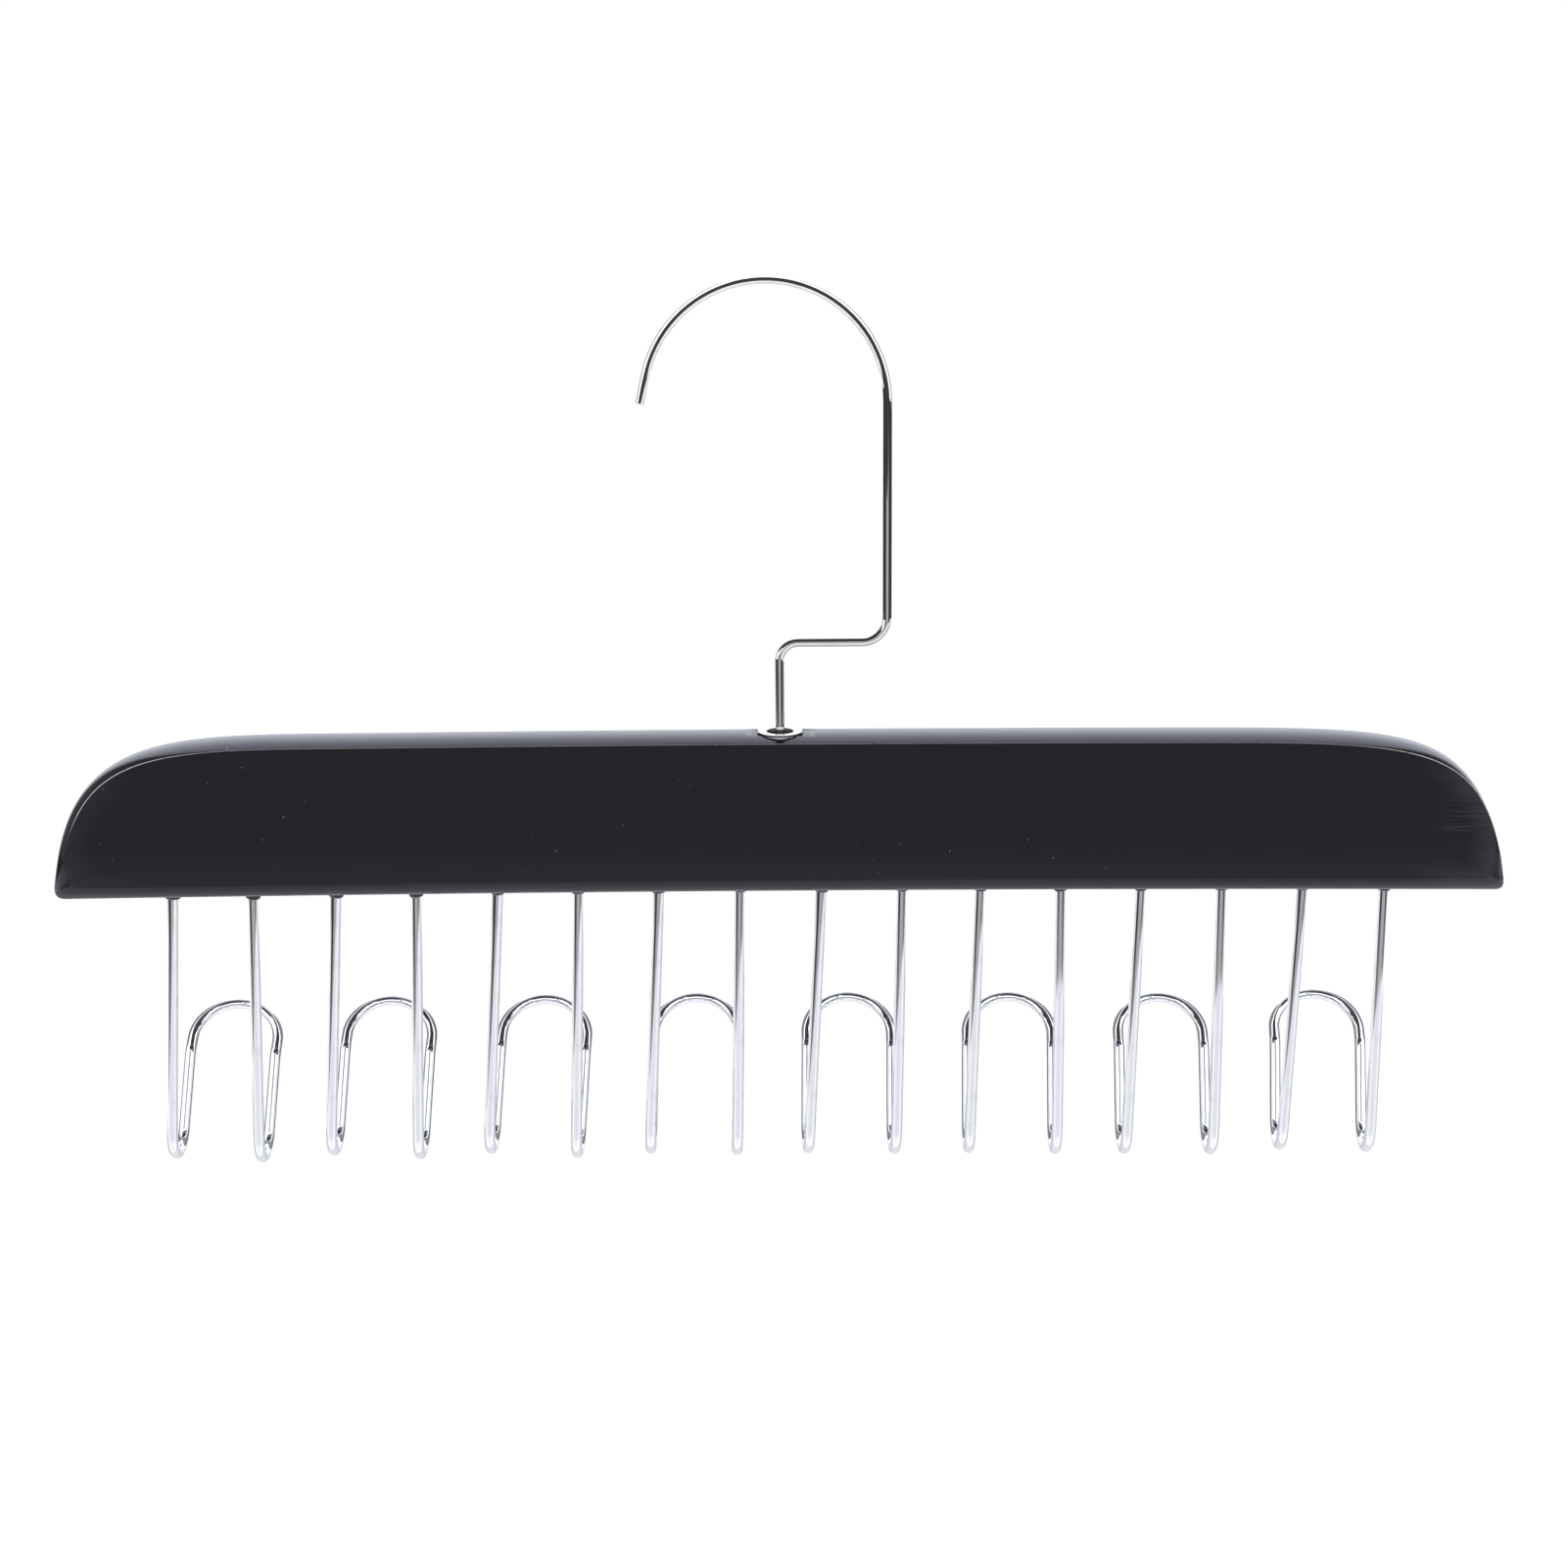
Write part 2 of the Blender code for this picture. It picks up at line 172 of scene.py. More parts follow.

# Collars of paint that ran down the legs when the bar was dipped
BEAD_STEPS = 48
BEAD_ROWS = 8
BEAD_SHARP = radians(60)
BEAD_GRIP = 0.96            # they start this deep in the wire, as a share of its radius
BEAD_TAPER = 2.2            # the higher, the more bulging
BEAD_UNEVEN = 0.05, 0.03    # how far they are from round, two and three times round
BEAD_SAG = 0.12             # how much lower they hang on one side, as a share of the drop
BEAD_ROOT = 1.02, 0.0006    # how much wider they are inside the wood, and how deep they reach into it
# How wide and how far below the bar, for each leg
BEADS = (
    (0.00215, 0.0017), (0.00205, 0.0016), (0.00210, 0.0016), (0.00205, 0.0016),
    (0.00185, 0.0013), (0.00180, 0.0013), (0.00185, 0.0013), (0.00180, 0.0012),
    (0.00180, 0.0013), (0.00185, 0.0012), (0.00180, 0.0012), (0.00185, 0.0013),
    (0.00180, 0.0012), (0.00180, 0.0013), (0.00185, 0.0013), (0.00180, 0.0012),
)

# Camera
LENS = 70.0
SENSOR = 36.0
CAMERA_PLACE = Vector((0.00381, -0.71087, 0.06676))
CAMERA_PITCH = radians(14.686)
CAMERA_ROLL = radians(-0.395)

# Of nearly every noise, the values lie between these
NOISE_RANGE = 0.3, 0.7

# Plated metals. Scales of patterns are per metre
DRAWING_LINES = (60, 2600, 1)   # along and across the wire
MOTTLING = 190.0
METAL_SPECKS = 1400.0
SPECK_DEPTH = 0.12              # as a share of the mottling's depth
LINES_IN_DULLNESS = 0.35
DULLED = 0.68, 0.96             # the plating turns duller where its patterns add up to these
RELIEF = 0.001                  # height of a bump pattern of 1
# Colour, colour of the duller places, range of roughness, and depth of the mottling
CHROME = (0.755, 0.762, 0.805), (0.66, 0.67, 0.70), (0.018, 0.045), 0.0018
STEEL = (0.775, 0.757, 0.772), (0.67, 0.655, 0.668), (0.018, 0.045), 0.0018
NICKEL = (0.74, 0.71, 0.71), (0.56, 0.53, 0.52), (0.08, 0.14), 0.008

# The socket's cup and the side of its rim, with painted shade and painted light. Depths are below the
# socket's top
CUP_DULL_AND_SHADED = 0.0003, 0.0006   # the plating turns dull and takes a painted shade between these
CUP_DARK = 0.0007, 0.0018   # and painted shadow darkens it further between these
# painted shade in the upper cup, and painted shadow low in it by the hole
CUP_UPPER = (0.30, 0.275, 0.27, 1)
CUP_LOWER = (0.05, 0.045, 0.045, 1)
CUP_ROUGHNESS = 0.38
SIDE_SHADE = 0.00078, 0.00095   # the side of the rim gets a painted shade from the lip above these
# painted light lower on the side of the rim, then painted shade under the lip
SIDE_LIT = (0.9, 0.9, 0.98, 1)
SIDE_DARK = (0.1, 0.1, 0.11, 1)
SIDE_RADIUS = 0.0046, 0.0050    # the cup ends and the side starts between these radii

# Paint, in the bar's own frame
GRAIN = (14, 500, 420)
GRAIN_SHOWS = 0.35, 0.75
GRAIN_DEPTH = 0.012
PEEL = 210.0
PEEL_DEPTH = 0.014
FINE = 2600.0
FINE_DEPTH = 0.0008
PAINT_BUMP = 0.6
LACQUER = (0.0012, 0.0012, 0.0028, 1)
LACQUER_GRAIN = (0.0024, 0.0024, 0.0044, 1)
DUST_SPECK = (0.20, 0.20, 0.20, 1)
DUST_SIZE = 0.020                   # of the largest specks, as a share of a cell
DUST_CELLS = 90.0
DUST_PATCHES = 45.0
DUSTY = 0.53, 0.70
DUST_COVER = 0.5
# the paint is lighter towards the foot of the bar
FOOT_TONE = (0.012, 0.012, 0.014, 1)
FOOT_TONE_HEIGHT = 0.002, 0.013     # the lighter tone fades out between these
FOOT_TONE_COVER = 0.6
# a painted sheen on the ends of the faces, in patches
SHEEN_PATCHES = 300.0
SHEEN_COVER = 0.6, 1.0
END_SHEEN = (0.031, 0.032, 0.041, 1)
# a painted highlight along the edges of the faces, in patches
EDGE_HIGHLIGHT = (0.50, 0.50, 0.51, 1)
HIGHLIGHT_PATCHES = 700.0
HIGHLIGHT_SHOWS = 0.20, 0.50
# brushed streaks low on the right end, coloured lighter and bluer as a painted highlight
STREAK_HIGHLIGHT = (0.055, 0.058, 0.074, 1)
STREAKS = (45, 300, 1500)
STREAKS_SHOW = 0.42, 0.74
STREAK_COVER = 0.5
STREAKS_FROM = 0.010, 0.017         # heights between which they start
STREAKS_TO = 0.025, 0.033           # heights between which they end
STREAKS_BEYOND = 0.1545, 0.1640     # how far along the bar they start
PAINT_ROUGHNESS = 0.12, 0.15
PAINT_SHEEN = (0.85, 0.812, 1.0, 1)

# What polished surfaces see of the studio: from and to which angle in degrees, and where a third and a
# fourth number follow, the brightness or the angle there, with 1 for the brightness of paper
ROOM_MIDDLE = -9.5, -5.5, 0.50, 0.16
ROOM_BESIDE = -19.0, -16.5, 0.32, 0.05
ROOM_MIDDLE_EDGE = 22.0, 36.0
ROOM_REACH = -15.5, -11.0, 74.0, 143.0
ROOM_REACH_LOSS = -7.6, -5.4, 0.0, -93.0
ROOM_REACH_EDGE = -7.0, 7.0
ROOM_TOP = -3.0, 6.0
SIDE_CARD = 94.0, 106.0, 1.5, 0.28
SIDE_FOOT = -15.5, -13.5
SIDE_FOOT_LIGHT = 1.3
BOX_GAP = 46.0, 54.0, 0.07, 1.9
BOX_LIGHT = 1.9
BOX_INNER_EDGE = 12.0, 15.0
BOX_LOWER_EDGE = 25.0, 29.0
BOX_SIDE_EDGE = 104.0, 96.0
SWEEP = -12.0, 36.0, 1.0, 2.05
SWEEP_EDGE = 141.0, 147.0
ROOF_LIGHT = 0.6
ROOF_LOWER_EDGE = 66.0, 71.0
ROOF_SIDE_EDGE = 96.0, 104.0
FLOOR_BESIDE = 25.0, 55.0, 1.0, 1.2
FLOOR_BEHIND = 78.0, 104.0, 0.0, -0.42
FLOOR_BELOW = -52.0, -34.0, 0.2, 0.0
FLOOR_EDGE = -19.45, -18.9
MATT_LIGHT = 0.72       # on matt surfaces, from all sides

# The rest of the studio
WHITE = (1, 1, 1, 1)
SWEEP_PAPER = (0.94, 0.975, 1.075, 1)
FLOOR_PAPER = (0.985, 0.99, 1.015, 1)
FLOOR_TONES = (0.80, 0.80, 0.80, 1), (0.84, 0.84, 0.84, 1)
FLOOR_MOTTLING = 3.0
FLOOR_GLOW = 0.5, 2.0, 0.32, 0.50   # from and to which distance, and how much light is added there
FLOOR_HALF = 4.0
FLOOR_Z = -0.45
FLAG_GLOW = 0.06
FRONT_FLAG_PLACE = Vector((0.005, -0.10, 0.021))
FRONT_FLAG_HALF = 0.125, 0.088
TOP_FLAG_X = 0.20
TOP_FLAG_Y = -0.10, 0.02
TOP_FLAG_Z = -0.030
LAMP_TARGET = (0, 0, -0.12)
LAMPS = (       # name, place, width and height, power
    ("key", (-0.9, -0.6, 1.3), (1.2, 0.8), 9.0),
    ("fill", (1.1, -0.3, 0.9), (1.0, 1.0), 5.0),
)

X = Vector((1, 0, 0))
Y = Vector((0, 1, 0))
Z = Vector((0, 0, 1))


class Nodes:
    """Short calls for building a node tree."""

    def __init__(self, tree):
        self.tree = tree

    def plug(self, socket, value):
        if isinstance(value, bpy.types.NodeSocket):
            self.tree.links.new(value, socket)
        else:
            socket.default_value = value

    def add(self, kind, inputs=(), **settings):
        node = self.tree.nodes.new(kind)
        for name, value in settings.items():
            setattr(node, name, value)
        for name, value in dict(inputs).items():
            self.plug(node.inputs[name], value)
        return node

    def math(self, operation, *values):
        return self.add("ShaderNodeMath", dict(enumerate(values)), operation=operation).outputs[0]

    def step(self, value, low, high, out_low=0.0, out_high=1.0):
        """Goes smoothly from out_low at low to out_high at high."""
        inputs = {0: value, 1: low, 2: high, 3: out_low, 4: out_high}
        return self.add("ShaderNodeMapRange", inputs, interpolation_type="SMOOTHSTEP").outputs[0]

    def ramp(self, value, low, high, out_low=0.0, out_high=1.0):
        inputs = {0: value, 1: low, 2: high, 3: out_low, 4: out_high}
        return self.add("ShaderNodeMapRange", inputs).outputs[0]

    def blend(self, factor, a, b):
        """A number between a and b."""
        return self.add("ShaderNodeMix", {0: factor, 2: a, 3: b}, data_type="FLOAT").outputs[0]

    def tint(self, factor, a, b):
        """A colour between a and b."""
        return self.add("ShaderNodeMix", {0: factor, 6: a, 7: b}, data_type="RGBA").outputs[2]

    def noise(self, place, scale, detail=2.0, roughness=0.5):
        inputs = {"Vector": place, "Scale": scale, "Detail": detail, "Roughness": roughness}
        return self.add("ShaderNodeTexNoise", inputs).outputs[0]

    def stretch(self, place, scale):
        return self.add("ShaderNodeMapping", {"Vector": place, "Scale": scale}).outputs[0]


def new_material(name):
    material = bpy.data.materials.new(name)
    material.use_nodes = True
    shader = material.node_tree.nodes["Principled BSDF"]
    return material, Nodes(material.node_tree), shader


def chrome_material(name, color, dull, roughness, mottle, recess=None):
    """Plated metal: drawing lines along it, faint mottling and a few duller places.

    The recess is the height of the socket's top. Below it the cup has painted shade, and the side of the
    rim painted shade under the lip and painted light lower down.
    """
    material, nodes, shader = new_material(name)
    places = nodes.add("ShaderNodeTexCoord").outputs
    lines = nodes.noise(nodes.stretch(places["UV"], DRAWING_LINES), 1.0, 3.0)
    patches = nodes.noise(places["Object"], MOTTLING, 3.0)
    specks = nodes.noise(places["Object"], METAL_SPECKS, 1.0)
    shader.inputs["Metallic"].default_value = 1.0
    both = nodes.math("ADD", patches, nodes.math("MULTIPLY", lines, LINES_IN_DULLNESS))
    plated = nodes.tint(nodes.step(both, *DULLED), (*color, 1), (*dull, 1))
    rough = nodes.ramp(lines, *NOISE_RANGE, *roughness)
    if recess:
        # Painted shade in the cup, darkest by the hole, and on the side of the rim painted shade under the
        # lip and painted light below it
        x, y, height = nodes.add("ShaderNodeSeparateXYZ", {0: places["Object"]}).outputs
        squares = nodes.math("ADD", nodes.math("MULTIPLY", x, x), nodes.math("MULTIPLY", y, y))
        radius = nodes.math("SQRT", squares)
        below = nodes.step(height, recess - CUP_DULL_AND_SHADED[1], recess - CUP_DULL_AND_SHADED[0], 1.0, 0.0)
        deep = nodes.step(height, recess - CUP_DARK[1], recess - CUP_DARK[0], 1.0, 0.0)
        shade = nodes.tint(deep, CUP_UPPER, CUP_LOWER)
        under_lip = nodes.step(height, recess - SIDE_SHADE[1], recess - SIDE_SHADE[0])
        rim_side = nodes.tint(under_lip, SIDE_LIT, SIDE_DARK)
        shade = nodes.tint(nodes.step(radius, *SIDE_RADIUS), shade, rim_side)
        plated = nodes.tint(below, plated, shade)
        rough = nodes.blend(below, rough, CUP_ROUGHNESS)
    nodes.plug(shader.inputs["Base Color"], plated)
    nodes.plug(shader.inputs["Roughness"], rough)
    relief = nodes.math("MULTIPLY", patches, mottle)
    relief = nodes.math("ADD", relief, nodes.math("MULTIPLY", specks, mottle * SPECK_DEPTH))
    bump = nodes.add("ShaderNodeBump", {"Height": relief, "Strength": 1.0, "Distance": RELIEF})
    nodes.plug(shader.inputs["Normal"], bump.outputs[0])
    return material


def paint_material():
    """Black lacquer over wood, with a faint grain and a painted highlight along its edges.

    It has a few specks of dust, a painted sheen on the ends of its faces, a lighter tone towards the
    foot, and brushed streaks low on the right end that carry a painted highlight.
    """
    material, nodes, shader = new_material("black_paint")
    places = nodes.add("ShaderNodeTexCoord").outputs
    place = places["Object"]
    axes = nodes.add("ShaderNodeSeparateXYZ", {0: place}).outputs
    grain = nodes.noise(nodes.stretch(place, GRAIN), 1.0, 4.0, 0.6)
    peel = nodes.noise(place, PEEL, 2.0)
    fine = nodes.noise(place, FINE, 1.0)
    base = nodes.tint(nodes.step(grain, *GRAIN_SHOWS), LACQUER, LACQUER_GRAIN)

    flat = nodes.add("ShaderNodeCombineXYZ", {0: axes[0], 1: axes[2]}).outputs[0]
    inputs = {"Vector": flat, "Scale": DUST_CELLS}
    cells = nodes.add("ShaderNodeTexVoronoi", inputs, voronoi_dimensions="2D").outputs
    size = nodes.ramp(nodes.noise(place, DUST_PATCHES, 0.0), *DUSTY, 0.0, DUST_SIZE)
    dust = nodes.math("LESS_THAN", cells["Distance"], size)
    base = nodes.tint(nodes.math("MULTIPLY", dust, DUST_COVER), base, DUST_SPECK)
    # Lighter towards the foot
    by_the_foot = nodes.step(axes[2], *FOOT_TONE_HEIGHT, FOOT_TONE_COVER, 0.0)
    base = nodes.tint(by_the_foot, base, FOOT_TONE)
    # Painted sheen on the ends of the faces, in patches, stronger on the right end
    end_sheen = nodes.add("ShaderNodeAttribute", attribute_name="end_sheen").outputs["Fac"]
    uneven = nodes.ramp(nodes.noise(place, SHEEN_PATCHES, 4.0, 0.7), *NOISE_RANGE, *SHEEN_COVER)
    painted_sheen = nodes.math("MULTIPLY", end_sheen, uneven)
    base = nodes.tint(painted_sheen, base, END_SHEEN)

    # Brushed streaks low on the right end, lighter and bluer as a painted highlight
    brushed = nodes.noise(nodes.stretch(place, STREAKS), 1.0, 2.0, 0.6)
    above = nodes.step(axes[2], *STREAKS_FROM)
    below = nodes.step(axes[2], *STREAKS_TO, 1.0, 0.0)
    low = nodes.math("MULTIPLY", above, below)
    patch = nodes.math("MULTIPLY", low, nodes.step(axes[0], *STREAKS_BEYOND))
    streaks = nodes.math("MULTIPLY", patch, nodes.step(brushed, *STREAKS_SHOW))
    base = nodes.tint(nodes.math("MULTIPLY", streaks, STREAK_COVER), base, STREAK_HIGHLIGHT)

    # A painted highlight along the rounded edges of the faces, in patches
    edge_highlight = nodes.add("ShaderNodeAttribute", attribute_name="edge_highlight").outputs["Fac"]
    patches = nodes.noise(place, HIGHLIGHT_PATCHES, 3.0, 0.7)
    painted_highlight = nodes.math("MULTIPLY", edge_highlight, nodes.step(patches, *HIGHLIGHT_SHOWS))
    nodes.plug(shader.inputs["Base Color"], nodes.tint(painted_highlight, base, EDGE_HIGHLIGHT))

    nodes.plug(shader.inputs["Roughness"], nodes.ramp(peel, *NOISE_RANGE, *PAINT_ROUGHNESS))
    shader.inputs["IOR"].default_value = 1.5
    shader.inputs["Specular Tint"].default_value = PAINT_SHEEN
    relief = nodes.math("MULTIPLY", grain, GRAIN_DEPTH)
    relief = nodes.math("ADD", relief, nodes.math("MULTIPLY", peel, PEEL_DEPTH))
    relief = nodes.math("ADD", relief, nodes.math("MULTIPLY", fine, FINE_DEPTH))
    bump = nodes.add("ShaderNodeBump", {"Height": relief, "Strength": PAINT_BUMP, "Distance": RELIEF})
    nodes.plug(shader.inputs["Normal"], bump.outputs[0])
    return material


def floor_material():
    """A pale floor that looks white to the camera where nothing shades it."""
    material, nodes, shader = new_material("floor")
    place = nodes.add("ShaderNodeTexCoord").outputs["Object"]
    tone = nodes.noise(place, FLOOR_MOTTLING, 2.0)
    nodes.plug(shader.inputs["Base Color"], nodes.tint(tone, *FLOOR_TONES))
    shader.inputs["Roughness"].default_value = 0.9
    shader.inputs["Specular IOR Level"].default_value = 0.0
    seen = nodes.add("ShaderNodeLightPath").outputs["Is Camera Ray"]
    away = nodes.add("ShaderNodeVectorMath", {0: place}, operation="LENGTH").outputs["Value"]
    strength = nodes.math("MULTIPLY", seen, nodes.step(away, *FLOOR_GLOW))
    glow = nodes.add("ShaderNodeEmission", {"Strength": strength})
    both = nodes.add("ShaderNodeAddShader", {0: shader.outputs[0], 1: glow.outputs[0]})
    output = material.node_tree.nodes["Material Output"]
    nodes.plug(output.inputs["Surface"], both.outputs[0])
    return material


def link(name, data, material):
    item = bpy.data.objects.new(name, data)
    bpy.context.scene.collection.objects.link(item)
    if material and not data.materials:
        data.materials.append(material)
    return item


def mesh_from(name, bm, sharp=SHARP):
    bmesh.ops.recalc_face_normals(bm, faces=bm.faces)
    mesh = bpy.data.meshes.new(name)
    bm.to_mesh(mesh)
    bm.free()
    mesh.shade_smooth()
    mesh.set_sharp_from_angle(angle=sharp)
    return mesh


def quarter(steps):
    """Angles of a quarter turn, with both its ends."""
    return [pi / 2 * i / steps for i in range(steps + 1)]


def circle(steps):
    """Angles of a whole turn, without its end."""
    return [2 * pi * k / steps for k in range(steps)]


def past(value, start, length):
    """How far a value is past the start, as a share of the length, from 0 to 1."""
    return min(1, max(0, (value - start) / length))


def arc(centre, start, side, radius, sweep):
    steps = max(2, round(abs(sweep) / ARC_STEP))
    angles = [sweep * i / steps for i in range(steps + 1)]
    return [centre + radius * (cos(a) * start + sin(a) * side) for a in angles]


def wire(name, points, radii):
    """A round wire along the points, with the way along it and round it as its UV map, in metres."""
    bm = bmesh.new()
    uv = bm.loops.layers.uv.new("along")
    count = len(points)
    ways = [(points[min(i + 1, count - 1)] - points[max(i - 1, 0)]).normalized() for i in range(count)]
    across = ways[0].orthogonal().normalized()
    rings = []
    travelled = [0.0]
    for i, (point, way) in enumerate(zip(points, ways)):
        across = (across - across.dot(way) * way).normalized()
        up = way.cross(across)
        if i:
            travelled.append(travelled[-1] + (point - points[i - 1]).length)
        spokes = [radii[i] * (cos(a) * across + sin(a) * up) for a in circle(WIRE_SIDES)]
        rings.append([bm.verts.new(point + spoke) for spoke in spokes])
    girth = 2 * pi * max(radii)
    for i in range(count - 1):
        for k in range(WIRE_SIDES):
            j = (k + 1) % WIRE_SIDES
            face = bm.faces.new((rings[i][k], rings[i][j], rings[i + 1][j], rings[i + 1][k]))
            spots = ((i, k), (i, k + 1), (i + 1, k + 1), (i + 1, k))
            for loop, (row, column) in zip(face.loops, spots):
                loop[uv].uv = (travelled[row], girth * column / WIRE_SIDES)
    bm.faces.new(rings[0])
    bm.faces.new(rings[-1][::-1])
    return mesh_from(name, bm)


def turned(name, profile):
    """A solid turned about Z from a closed outline of (radius, height) points."""
    bm = bmesh.new()
    uv = bm.loops.layers.uv.new("along")
    rings = []
    for radius, z in profile:
        if radius == 0:
            rings.append([bm.verts.new((0, 0, z))])
            continue
        places = [(radius * cos(a), radius * sin(a), z) for a in circle(TURNED_STEPS)]
        rings.append([bm.verts.new(place) for place in places])
    for i, lower in enumerate(rings):
        upper = rings[(i + 1) % len(rings)]
        if len(lower) == 1 and len(upper) == 1:
            continue
        for k in range(TURNED_STEPS):
            j = (k + 1) % TURNED_STEPS
            below = lower[k % len(lower)], lower[j % len(lower)]
            above = upper[j % len(upper)], upper[k % len(upper)]
            face = bm.faces.new(list(dict.fromkeys(below + above)))
            for loop in face.loops:
                loop[uv].uv = (0.03 * k / TURNED_STEPS, 0.001 * i)
    return mesh_from(name, bm)


def swivel_hook_mesh():
    """The hanger hook, from the head inside the socket to its rounded tip."""
    head_top = BAR_BOTTOM_Z + WEB_UNDERSIDE - CLEARANCE
    stem = STEM_X * X
    wide = HEAD_SIZE / 2
    thin = ROD_WIRE / 2
    head = [
        (HEAD_THICKNESS, HEAD_FACE * wide),
        ((1 - HEAD_EDGE) * HEAD_THICKNESS, wide),
        (HEAD_EDGE * HEAD_THICKNESS, wide),
        (0, HEAD_FILLET * thin),
    ]
    points = [stem + (head_top - depth) * Z for depth, _ in head]
    radii = [radius for _, radius in head]
    points.append(stem + (head_top + HEAD_EDGE * HEAD_THICKNESS) * Z)
    points += arc(stem + STEM_BEND * X + (CRANK_Z - STEM_BEND) * Z, -X, Z, STEM_BEND, pi / 2)
    points += arc((ROD_CURVE - CRANK_BEND) * X + (CRANK_Z + CRANK_BEND) * Z, -Z, X, CRANK_BEND, pi / 2)
    points += arc(CURVE_Z * Z, X, Z, ROD_CURVE, ROD_SWEEP)
    heading = cos(ROD_SWEEP) * Z - sin(ROD_SWEEP) * X
    end = points[-1]
    radii += [thin] * (len(points) - len(radii))
    for angle in quarter(TIP_STEPS):
        points.append(end + (TIP_LENGTH - TIP_ROUND * (1 - sin(angle))) * heading)
        radii.append(thin - TIP_ROUND * (1 - cos(angle)))
    return wire("swivel_hook_wire", points, radii)


def bezier(a, b, c, d, lowest):
    """Points and outward normals of a cubic curve that runs up and inwards from a to d.

    The points start where the curve reaches the lowest height that is asked for.
    """

    def spot(t):
        s = 1 - t
        return s**3 * a + 3 * s * s * t * b + 3 * s * t * t * c + t**3 * d

    low, high = 0.0, 1.0
    for _ in range(BISECTIONS):
        middle = (low + high) / 2
        low, high = (middle, high) if spot(middle).y < lowest else (low, middle)
    result = []
    for i in range(END_STEPS + 1):
        t = low + (1 - low) * i / END_STEPS
        s = 1 - t
        slope = s * s * (b - a) + 2 * s * t * (c - b) + t * t * (d - c)
        result.append((spot(t), Vector((slope.y, -slope.x)).normalized()))
    return result


def edge_radius(end, height):
    """How round the edge of the face is at this height: soft at the foot and crisp at the top."""
    t = past(height, 0, end["soft"])
    return BOTTOM_ROUND + (EDGE_ROUND - BOTTOM_ROUND) * t * t * (3 - 2 * t)


def section_depth(radius, share, angle):
    """How deep a ring of the bar lies where its edges have this radius."""
    flat = BAR_THICKNESS / 2 - radius
    return share * flat if angle is None else share * (flat + radius * sin(angle))


def inset(radius, angle):
    return 0 if angle is None else radius * (1 - cos(angle))


def bulge(depth):
    return 1 - (2 * abs(depth) / BAR_THICKNESS) ** CROWN_POWER


def end_outline(end, share, angle):
    """One end of the bar at +X for one ring, as (x, depth, z) points."""
    half = BAR_LENGTH / 2
    lift = inset(BOTTOM_ROUND, angle)
    upwards = Vector((-sin(end["lean"]), cos(end["lean"])))
    outwards = Vector((cos(end["lean"]), sin(end["lean"])))
    foot = Vector((half - lift * tan(end["lean"]), lift))
    start = Vector((half, 0)) + CORNER_ROUND * upwards
    rise = Vector((half, 0)) + end["rise"] * upwards
    top = Vector((half - END_RUN, FACE_HEIGHT))
    side = []
    for point, normal in bezier(start, rise, top + Vector((end["top_run"], 0)), top, start.y + lift):
        radius = edge_radius(end, point.y - lift)
        depth = section_depth(radius, share, angle)
        crown = end["crown"] + (CROWN - end["crown"]) * normal.y ** 2
        place = point + (bulge(depth) * crown - inset(radius, angle)) * normal
        side.append(Vector((place.x, depth, place.y)))
    radius = edge_radius(end, CORNER_ROUND)
    swell = bulge(side[0].y) * end["crown"] - inset(radius, angle)
    corner = foot + swell * outwards - swell * tan(end["lean"]) * upwards
    first = Vector((side[0].x, side[0].z))
    flat = corner - Vector(((first - corner).length, 0))
    floor_depth = section_depth(BOTTOM_ROUND, share, angle)
    corner_points = []
    for i in range(CORNER_STEPS):
        t = i / CORNER_STEPS
        place = (1 - t) ** 2 * flat + 2 * t * (1 - t) * corner + t * t * first
        corner_points.append(Vector((place.x, floor_depth + t * (side[0].y - floor_depth), place.y)))
    return corner_points + side


def bow(x):
    return BAR_BOW * (2 * x / BAR_LENGTH) ** 2


def run(start, end, steps):
    return [start.lerp(end, i / steps) for i in range(1, steps)]


def bar_outline(share, angle):
    right = end_outline(RIGHT_END, share, angle)
    left = [Vector((-p.x, p.y, p.z)) for p in end_outline(LEFT_END, share, angle)][::-1]
    outline = right + run(right[-1], left[0], TOP_STEPS) + left + run(left[-1], right[0], TOP_STEPS)
    return [Vector((p.x + BAR_SHIFT, p.y, p.z - bow(p.x))) for p in outline]


def edge_highlight_share(place):
    """How strong the painted highlight on the edge of the face is here: most on the ends, less along the
    top, not at the foot.
    """
    above = past(place.z / FACE_HEIGHT, *HIGHLIGHT_UP)
    outwards = past(abs(place.x) / (BAR_LENGTH / 2), *HIGHLIGHT_OUT)
    return above * (HIGHLIGHT_ON_TOP + HIGHLIGHT_ON_ENDS * outwards)


def edge_sheen_share(place):
    """How strong the painted sheen on the rim of a face is here: only at the ends, and more at the right
    one.
    """
    outwards = past(abs(place.x) / (BAR_LENGTH / 2), *SHEEN_OUT)
    return outwards * (1 if place.x > 0 else SHEEN_ON_LEFT)


